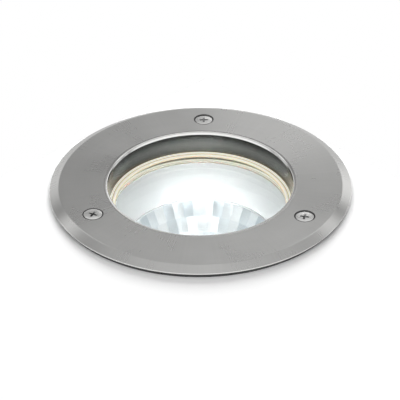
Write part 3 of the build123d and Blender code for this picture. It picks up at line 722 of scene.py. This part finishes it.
# Finishes, one for each slot of the record: dark tone, light tone and range of roughness
finishes = {
    "stainless": lathed(
        "brushed_stainless", (0.376, 0.375, 0.367), (0.493, 0.491, 0.483), (0.24, 0.32),
        lines=1500.0, streaks=60.0, bump=0.01, Anisotropic=0.8, Anisotropic_Rotation=0.25,
    ),
    "screw_steel": lathed(
        "screw_steel", (0.5, 0.5, 0.49), (0.64, 0.64, 0.63), (0.2, 0.34), lines=16000.0, streaks=20.0
    ),
    "black_rubber": grained(
        "black_rubber", grey(0.012), (0.035, 0.034, 0.033), (0.55, 0.75), grains=1800.0
    ),
    "clear_glass": clear("toughened_glass", (0.96, 0.99, 0.98), smear=0.02, IOR=1.5),
    "cream_silicone": silicone_with_painted_glow("cream_silicone"),
    "satin_aluminium": lathed(
        "satin_aluminium", (0.9, 0.92, 0.92), (0.94, 0.955, 0.955), (0.55, 0.63),
        lines=6000.0, streaks=30.0, bump=0.03, Anisotropic=0.25, Anisotropic_Rotation=0.25,
    ),
    "facet_mirror": facets_with_painted_glow("facet_mirror_painted_glow"),
    "lens_glass": lens_with_painted_glow("lamp_lens_painted_glow"),
    "lamp_ceramic": grained(
        "lamp_cement", (0.6, 0.58, 0.53), (0.78, 0.76, 0.72), (0.7, 0.9), grains=2200.0, bump=0.4
    ),
    "quartz": clear("quartz_burner", (0.96, 0.97, 1.0), smear=0.02, IOR=1.46, Emission_Strength=9.8),
    "filament": glowing("hot_filament", strength=60.0),
    "nickel_brass": grained(
        "nickelled_brass", (0.6, 0.58, 0.52), (0.8, 0.78, 0.72), (0.16, 0.34),
        grains=1500.0, bump=0.04, Metallic=1.0,
    ),
    "black_glass": grained(
        "cap_glass", (0.01, 0.01, 0.012), (0.03, 0.03, 0.035), (0.06, 0.16), grains=900.0, bump=0.03
    ),
    "contact_metal": grained(
        "contact_tin", (0.45, 0.45, 0.44), (0.66, 0.66, 0.65), (0.25, 0.45),
        grains=1600.0, bump=0.1, Metallic=1.0,
    ),
    "porcelain": grained(
        "white_porcelain", (0.78, 0.77, 0.74), (0.87, 0.86, 0.84), (0.2, 0.36),
        grains=700.0, bump=0.04, Coat_Weight=0.6, Coat_Roughness=0.08,
    ),
    "zinc_steel": grained(
        "zinc_plate", (0.5, 0.51, 0.53), (0.7, 0.71, 0.72), (0.28, 0.5),
        grains=500.0, bump=0.08, Metallic=1.0,
    ),
    "terminal_ceramic": grained(
        "terminal_steatite", (0.76, 0.74, 0.69), (0.86, 0.85, 0.81), (0.45, 0.65), grains=1500.0
    ),
    "brown_wire": grained(
        "brown_sleeving", (0.1, 0.045, 0.02), (0.19, 0.09, 0.045), (0.35, 0.5), grains=1200.0, bump=0.06
    ),
    "blue_wire": grained(
        "blue_sleeving", (0.02, 0.08, 0.32), (0.05, 0.15, 0.48), (0.35, 0.5), grains=1200.0, bump=0.06
    ),
    "earth_wire": striped("earth_sleeving", (0.05, 0.3, 0.06), (0.75, 0.6, 0.04)),
    "gland_plastic": grained(
        "gland_nylon", (0.018, 0.018, 0.019), (0.05, 0.05, 0.052), (0.38, 0.55), grains=1500.0
    ),
    "cast_housing": grained(
        "cast_aluminium", (0.2, 0.2, 0.205), (0.34, 0.34, 0.345), (0.45, 0.68),
        grains=1300.0, bump=0.35, Metallic=0.85,
    ),
    "brass_insert": grained(
        "turned_brass", (0.6, 0.42, 0.16), (0.82, 0.64, 0.32), (0.22, 0.38),
        grains=1800.0, bump=0.08, Metallic=1.0,
    ),
    "sleeve_plastic": grained(
        "sleeve_polypropylene", (0.025, 0.026, 0.028), (0.07, 0.072, 0.075), (0.42, 0.62),
        grains=1000.0, bump=0.2,
    ),
}
for subpart in frame["record"]["subparts"]:
    node = frame["nodes"][subpart["node"]]
    if node.material_slots:
        node.material_slots[0].material = finishes[subpart["material_slot"]]
    else:
        node.data.materials.append(finishes[subpart["material_slot"]])

# Finishes of single faces of the ring and the screws
# Polished steel for the lip and the outer edge, its lighter colour a painted highlight
polished_lip_painted_highlight = lathed(
    "polished_lip_painted_highlight", (0.55, 0.55, 0.54), (0.66, 0.66, 0.65), (0.1, 0.2),
    lines=3000.0, streaks=20.0, bump=0.01,
)
wall_painted_shade = wall_with_painted_shade("wall_painted_shade")
eased_edge = lathed(
    "eased_edge", (0.42, 0.418, 0.41), (0.54, 0.538, 0.53), (0.13, 0.18),
    lines=1500.0, streaks=60.0, bump=0.01,
)
# Painted shade in the countersinks round the screw heads
sink_painted_shade = lathed("sink_painted_shade", grey(0.06), grey(0.1), (0.4, 0.55), lines=8000.0, streaks=20.0)
# Painted shade in the cross of each screw
cross_painted_shade = lathed("cross_painted_shade", grey(0.2), grey(0.3), (0.35, 0.5), lines=16000.0, streaks=20.0)

# Clear pieces let the lamps through
for name in ("glass", "lamp_lens", "lamp_burner"):
    frame["nodes"][name].visible_shadow = False


# Trim ring with broken edges and three countersinks
ring = as_object("trim_ring_brushed", turned_mesh(rounded([
    (opening_r, ring_top - ease_h, lip_round),
    (opening_r + ease_w / 2, ring_top, ease_round),
    (flat_r, ring_top, bevel_round),
    (ring_r, edge_top, edge_round),
    (ring_r, gasket_top, edge_foot_round),
    (collar_r, gasket_top, collar_round),
    (collar_r, collar_foot, collar_foot_round),
    (wall_foot_r, collar_foot, collar_foot_round),
    (wall_top_r, ring_top - lip_h, wall_top_round),
], steps=8), segments=360))
screw_boxes = {side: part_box("ring_screw_" + side) for side in screw_sides}
screw_centres = {side: (low + high) / 2 for side, (low, high) in screw_boxes.items()}
for side in screw_sides:
    centre = screw_centres[side]
    sink = turned_mesh([
        (0, ring_top + sink_past),
        (sink_r + sink_flare, ring_top + sink_past),
        (sink_r + sink_flare, ring_top + sink_rim_h),
        (sink_r + sink_break, ring_top - sink_break),
        (sink_r, ring_top - sink_rim_h),
        (sink_r - sink_break, ring_top - sink_rim_h - head_sunk[side]),
        (sink_hole_r, ring_top - sink_r + sink_hole_r - head_sunk[side] / 2),
        (sink_hole_r, gasket_top - sink_past),
        (0, gasket_top - sink_past),
    ], segments=96, ring=False)
    cut(ring, as_object("sink_" + side, sink, (centre.x, centre.y, 0)))
finish_piece(ring, "cover", "stainless", "trim_ring")
even = ring.modifiers.new("even_flat", "WEIGHTED_NORMAL")
even.keep_sharp = True
even.weight = 100
for finish in (polished_lip_painted_highlight, wall_painted_shade, eased_edge, sink_painted_shade):
    ring.data.materials.append(finish)
polish_zone, wall_zone, ease_zone, sink_zone = range(1, 5)
for face in ring.data.polygons:
    reach = from_axis(face.center)
    by_lip = face.center.z > ring_top - lip_h
    # The lip and the outer edge take the polished finish with its painted highlight
    if reach > ring_r - edge_polish_w or (by_lip and reach < opening_r + lip_polish_w):
        face.material_index = polish_zone
    # The inside wall takes its painted shade and reflections
    elif reach < wall_top_r:
        face.material_index = wall_zone
    elif by_lip and reach < opening_r + ease_w:
        face.material_index = ease_zone
    # Faces inside each countersink take its painted shade
    for centre in screw_centres.values():
        in_sink = from_axis(face.center - centre) < sink_r + sink_zone_more
        if in_sink and face.center.z < ring_top - sink_zone_below:
            face.material_index = sink_zone


# Ring screws with a cut thread and a tapered cross

def thread_height(height, angle):
    """How far the screw's thread stands out, 0 at the root and 1 at the crest."""
    turn = (height / screw_pitch - angle / math.tau) % 1.0
    away = min(turn, 1.0 - turn)
    return max(0.0, min(1.0, (thread_foot_share - away) / thread_flank_share))


def cross_tool():
    """The tapered cross of a screwdriver, pointing down."""
    bm = bmesh.new()
    loops = []
    for height, arm, half in (
        (cross_past, cross_len / 2 + cross_flare, cross_w / 2 + cross_taper),
        (0.0, cross_len / 2, cross_w / 2),
        (-cross_knee, cross_len / 2 - cross_knee_less, cross_w / 2 - cross_taper),
        (-cross_depth, cross_len / 4, cross_w / 2 - cross_tip_taper),
    ):
        loop = []
        for quarter in range(4):
            turn = Matrix.Rotation(quarter * math.pi / 2, 3, "Z")
            for x, y in ((arm, -half), (arm, half), (half, half)):
                loop.append(bm.verts.new(turn @ Vector((x, y, height))))
        loops.append(loop)
    return loops_mesh(bm, loops)


def ring_screw(side):
    """One ring screw on its own body, with heights measured from the top of its box."""
    low, high = screw_boxes[side]
    centre = screw_centres[side]
    sunk = head_sunk[side]
    head_r = (high.x - low.x) / 2
    length = high.z - low.z
    thread_from = -head_r + screw_crest_r - plain_shank
    thread_to = -length + tip_h
    rows = int((thread_from - thread_to) / (screw_pitch / rows_per_turn))

    def threaded(radius, height, angle):
        """Radius of the shank with its thread, running out at both ends."""
        if height > thread_from or height < thread_to:
            return radius
        ease = min(1.0, (thread_from - height) / screw_pitch, (height - thread_to) / screw_pitch)
        return radius + ease * (screw_crest_r - screw_root_r) * thread_height(height, angle)

    outline = [
        (0, -sunk),
        (head_r - head_break_w, -sunk),
        (head_r - head_round_w, -head_round_h - sunk),
        (head_r, -head_rim_h - sunk),
        (screw_crest_r, screw_crest_r - head_r - sunk / 2),
        (screw_root_r, screw_crest_r - head_r - shank_step_h),
    ]
    for k in range(rows + 1):
        outline.append((screw_root_r, thread_from + (thread_to - thread_from) * k / rows))
    outline += [(screw_root_r - tip_less, -length), (0, -length)]
    shank = turned_mesh(outline, segments=64, shape=threaded, ring=False)
    screw = as_object("ring_screw_" + side + "_cut", shank, (centre.x, centre.y, high.z))
    tool = as_object("cross_" + side, cross_tool(), (centre.x, centre.y, high.z - sunk))
    tool.rotation_euler.z = math.radians(cross_turns[side])
    cut(screw, tool)
    finish_piece(screw, "screw_" + side, "screw_steel", "ring_screw_" + side)
    screw.data.materials.append(cross_painted_shade)
    # Faces inside the cross take its painted shade
    for face in screw.data.polygons:
        depth = -sunk - face.center.z
        in_depth = cross_zone_from < depth < cross_depth + cross_zone_more
        if in_depth and from_axis(face.center) < cross_len / 2:
            face.material_index = 1


for side in screw_sides:
    ring_screw(side)


# Spun reflector cone with a rolled upper edge
cone_foot = lens_high.z + cone_over_lens
cone = as_object("reflector_cone_spun", turned_mesh(rounded([
    (cone_top_r, cone_high.z, cone_roll_round),
    (cone_high.x, cone_high.z, cone_edge_round),
    (cone_high.x, cone_high.z - cone_wall, cone_edge_round),
    (cone_top_r + cone_wall, cone_high.z - cone_wall, cone_bend_round),
    (cone_foot_r + cone_wall, cone_foot, cone_bend_round),
    (cone_foot_r, cone_foot, cone_edge_round),
]), segments=256))
finish_piece(cone, "cover", "satin_aluminium", "reflector_cone")


# Facetted bowl of the lamp: rows of facets that swell a little, every other row turned half a step

def bowl_r(height):
    """Radius of the lamp's parabola at a height."""
    return facet_top_r * math.sqrt(max(0.0, height - facet_top + bowl_depth) / bowl_depth)


def row_sides(row):
    """How many facets a row has."""
    return facet_count - row * row_drop_count


def row_turn(row):
    """The angle at which a row of facets starts."""
    return math.pi / 2 + row % 2 * math.pi / row_sides(row)


def facet_loops(row, top, foot, steps=8):
    """Loops of points down one row of facets, which swell towards the axis."""
    sides = row_sides(row)
    middle_to_one = 16
    loops = []
    for v in range(steps + 1):
        down = v / steps
        height = top + (foot - top) * down
        radius = bowl_r(top) + (bowl_r(foot) - bowl_r(top)) * down
        loop = []
        for n in range(sides * steps):
            across = n % steps / steps
            left = row_turn(row) + math.tau * (n // steps) / sides
            right = left + math.tau / sides
            point = at(radius, left, height).lerp(at(radius, right, height), across)
            swell = facet_swell * middle_to_one * across * (1 - across) * down * (1 - down)
            loop.append(point + Vector((-point.x, -point.y, 0)).normalized() * swell)
        loops.append(loop)
    return loops


def round_loop(radius, height, segments=152):
    """A loop of points on a circle about the axis."""
    return [at(radius, math.tau * n / segments, height) for n in range(segments)]


def zipped_mesh(loops):
    """A closed skin through loops about the axis that need not have the same number of points."""
    bm = bmesh.new()
    rings = []
    for loop in loops:
        points = [(math.atan2(point.y, point.x) % math.tau, bm.verts.new(point)) for point in loop]
        points.sort(key=lambda pair: pair[0])
        first_angle, first_vert = points[0]
        rings.append(points + [(first_angle + math.tau, first_vert)])
    for one, two in zip(rings, rings[1:] + rings[:1]):
        i = 0
        j = 0
        while i < len(one) - 1 or j < len(two) - 1:
            take_one = j == len(two) - 1 or (i < len(one) - 1 and one[i + 1][0] <= two[j + 1][0])
            if take_one:
                bm.faces.new((one[i][1], one[i + 1][1], two[j][1]))
                i += 1
            else:
                bm.faces.new((one[i][1], two[j + 1][1], two[j][1]))
                j += 1
    bmesh.ops.recalc_face_normals(bm, faces=bm.faces)
    return bm


row_levels = [facet_top]
for row in range(facet_rows):
    row_levels.append(row_levels[-1] - facet_row_h + row * facet_row_less)
bowl_loops = []
for row in range(facet_rows):
    bowl_loops += facet_loops(row, row_levels[row] - row_edge, row_levels[row + 1] + row_edge)
rim_r = bowl_high.x
bowl_outline = [
    (burner_hole_r, row_levels[-1]),
    (burner_hole_r, bowl_low.z),
    (neck_top_r, bowl_low.z),
    (neck_top_r, bowl_low.z + throat_rise),
]
bowl_outline += [(bowl_r(level) + bowl_wall, level) for level in reversed(row_levels[1:-1])]
bowl_outline += [
    (rim_r, facet_top - lamp_rim_h),
    (rim_r, bowl_high.z - lamp_rim_break),
    (rim_r - lamp_rim_break, bowl_high.z),
    (lens_seat_r + lens_seat_break, bowl_high.z),
    (lens_seat_r, bowl_high.z - lens_seat_break),
    (lens_seat_r, facet_top),
]
bowl_loops += [round_loop(radius, height) for radius, height in bowl_outline]
bowl = as_object("lamp_reflector_facets", zipped_mesh(bowl_loops))
finish_piece(bowl, "lamp", "facet_mirror", "lamp_reflector", crease=3.0)
# Each facet's level of painted light, which differs from facet to facet; the rim and lens seat above the
# facets take the full level
painted_lights = bowl.data.attributes.new("facet_painted_light", "FLOAT", "FACE")
for face in bowl.data.polygons:
    row = sum(face.center.z < level for level in row_levels[1:-1])
    angle = (math.atan2(face.center.y, face.center.x) - row_turn(row)) % math.tau
    number = int(angle * row_sides(row) / math.tau)
    painted_light = (number * golden_share + row * row_painted_light_step + first_painted_light) % 1.0
    above_facets = face.center.z > facet_top - row_edge
    painted_lights.data[face.index].value = 1.0 if above_facets else painted_light


# Lamp cap with a rolled round thread

def rolled(radius, height, angle):
    """Radius of the rolled cap: round thread between two plain ends."""
    wave = 0.5 - 0.5 * math.cos(math.tau * (height / cap_pitch - angle / math.tau))
    from_ends = min(cap_thread_top - height, height - cap_thread_foot)
    ease = max(0.0, min(1.0, from_ends / cap_run_out))
    return radius - cap_swell * (1.0 - wave * ease)


cap_levels = [cap_high.z + (cap_low.z - cap_high.z) * k / cap_rows for k in range(cap_rows + 1)]
cap_outline = [(cap_high.x, level) for level in cap_levels]
cap_outline += [(cap_high.x - cap_wall, level) for level in reversed(cap_levels)]
cap = as_object("lamp_cap_rolled", turned_mesh(cap_outline, segments=72, shape=rolled))
finish_piece(cap, "lamp", "nickel_brass", "lamp_cap")


# Filament coil between its two leads
line = [Vector((-lead_x, 0, lead_foot)), Vector((-lead_x, 0, coil_foot - lead_bend))]
for step in range(coil_steps + 1):
    share = step / coil_steps
    angle = math.pi + math.tau * coil_turns * share
    line.append(at(coil_r, angle, coil_foot + (coil_height - coil_top_less) * share))
line += [Vector((lead_x, 0, coil_high.z - lead_top_less)), Vector((lead_x, 0, lead_foot))]
coil = as_object("lamp_filament_coil", tube_mesh(line, wire_r))
finish_piece(coil, "lamp", "filament", "lamp_filament")


# Floor round the light, cut off behind the ring so that the buried part shows from behind

def floor_mesh():
    """A flat sheet with a hole, which is a little larger at the front."""
    bm = bmesh.new()
    inner = []
    outer = []
    for n in range(floor_steps):
        angle = math.tau * n / floor_steps
        x = math.cos(angle)
        y = math.sin(angle)
        hole = floor_hole_r + floor_hole_more * min(0.0, y) ** 2
        stretch = floor_reach / max(abs(x), abs(y))
        if y + abs(x) > 0:
            stretch = min(stretch, floor_back / (y + abs(x)))
        inner.append(bm.verts.new((hole * x, hole * y, floor_z)))
        outer.append(bm.verts.new((stretch * x, stretch * y, floor_z)))
    bridge(bm, outer, inner)
    return bm


def floor_finish():
    """White paving that the camera sees through from below."""
    made = bpy.data.materials.new("white_floor")
    made.use_nodes = True
    tree = made.node_tree
    tree.nodes.clear()
    ground = add_node(tree, "ShaderNodeBsdfDiffuse")
    ground.inputs["Color"].default_value = (*grey(0.97), 1.0)
    seen = add_node(tree, "ShaderNodeLightPath").outputs["Is Camera Ray"]
    under = add_node(tree, "ShaderNodeNewGeometry").outputs["Backfacing"]
    gone = add_node(tree, "ShaderNodeMixShader")
    put(tree, gone.inputs[0], calc(tree, "MULTIPLY", seen, under))
    tree.links.new(ground.outputs[0], gone.inputs[1])
    tree.links.new(add_node(tree, "ShaderNodeBsdfTransparent").outputs[0], gone.inputs[2])
    tree.links.new(gone.outputs[0], add_node(tree, "ShaderNodeOutputMaterial").inputs["Surface"])
    return made


floor = as_object("floor", floor_mesh())
floor.data.materials.append(floor_finish())


# White room, plain white to the camera. Its level is given by the angle in degrees from the horizon
# behind the light, over the top, to the horizon in front of it
room_levels = (
    (0, 0.95), (12, 1.1), (17, 0.95), (20.4, 0.8), (24, 0.64), (27.3, 0.58), (30.7, 0.48), (33.5, 0.44),
    (36, 0.42), (37.4, 0.16), (39, 0.22), (40.5, 0.5), (44, 1.1), (47.4, 1.55), (52, 1.45), (57, 1.0),
    (62, 0.4), (68, 0.45), (80, 0.74), (90, 0.86), (100, 1.3), (120, 1.4), (153, 1.5), (180, 1.0),
)
less_on_matt = 0.42


def white_room():
    """A world that is brighter and darker by height, and dimmer on matt surfaces."""
    made = bpy.data.worlds.new("white_room")
    made.use_nodes = True
    tree = made.node_tree
    tree.nodes.clear()
    way = split(tree, add_node(tree, "ShaderNodeTexCoord").outputs["Generated"])
    over = calc(tree, "DIVIDE", calc(tree, "ARCTAN2", way["Z"], way["Y"]), math.pi)
    room = ramp(tree, over, [(degrees / 180, grey(level)) for degrees, level in room_levels])
    ray = add_node(tree, "ShaderNodeLightPath").outputs
    sky = add_node(tree, "ShaderNodeBackground")
    put(tree, sky.inputs["Color"], mix(tree, ray["Is Camera Ray"], room, (*grey(1.0), 1.0)))
    loss = calc(tree, "MULTIPLY", ray["Is Diffuse Ray"], less_on_matt)
    put(tree, sky.inputs["Strength"], calc(tree, "SUBTRACT", 1.0, loss))
    tree.links.new(sky.outputs[0], add_node(tree, "ShaderNodeOutputWorld").inputs["Surface"])
    return made


def softbox(name, place, width, height, radiance):
    """A rectangular lamp that faces the light, given by how bright its face is."""
    lamp = bpy.data.lights.new(name, "AREA")
    lamp.shape = "RECTANGLE"
    lamp.size = width
    lamp.size_y = height
    lamp.energy = radiance * math.pi * width * height
    obj = bpy.data.objects.new(name, lamp)
    obj.location = place
    obj.rotation_mode = "QUATERNION"
    obj.rotation_quaternion = (-Vector(place)).to_track_quat("-Z", "Y")
    obj.visible_camera = False
    bpy.context.scene.collection.objects.link(obj)
    return obj


bpy.context.scene.world = white_room()
softbox("back_right", (0.95, 1.5, 0.6), width=0.8, height=0.5, radiance=1.0)
softbox("back_left", (-0.95, 1.5, 0.6), width=0.8, height=0.5, radiance=0.45)

# This one lights the floor and throws the shadow, and it doesn't show in metal or glass
back_wash = softbox("back_wash", (0.0, 1.63, 0.5), width=1.6, height=0.7, radiance=18.5)
back_wash.visible_glossy = False
back_wash.visible_transmission = False

# These show in the metal and don't light matt surfaces
for panel in (
    softbox("side_panel", (0.28, 0.52, 0.36), width=0.5, height=0.3, radiance=0.12),
    softbox("top_panel", (0.85, 0.57, 1.36), width=0.6, height=0.6, radiance=0.25),
    softbox("back_panel", (0.11, 1.555, 0.794), width=0.3, height=0.3, radiance=1.1),
):
    panel.visible_diffuse = False


# Camera
azimuth = math.radians(camera_azimuth)
elevation = math.radians(camera_elevation)
level_share = math.cos(elevation)
back = Vector((math.sin(azimuth) * level_share, -math.cos(azimuth) * level_share, math.sin(elevation)))
look = (-back).to_track_quat("-Z", "Y")
right = look @ Vector((1, 0, 0))
up = look @ Vector((0, 1, 0))
camera = bpy.data.objects.new("photo_camera", bpy.data.cameras.new("photo_camera"))
camera.data.lens = camera_lens
camera.data.sensor_width = camera_sensor
camera.data.clip_start = camera_near
camera.rotation_mode = "QUATERNION"
camera.location = camera_distance * back - aim_below * up - aim_left * right
camera.rotation_quaternion = look @ Matrix.Rotation(math.radians(camera_roll), 3, "Z").to_quaternion()
bpy.context.scene.collection.objects.link(camera)
bpy.context.scene.camera = camera
bpy.context.scene.view_settings.view_transform = "Standard"
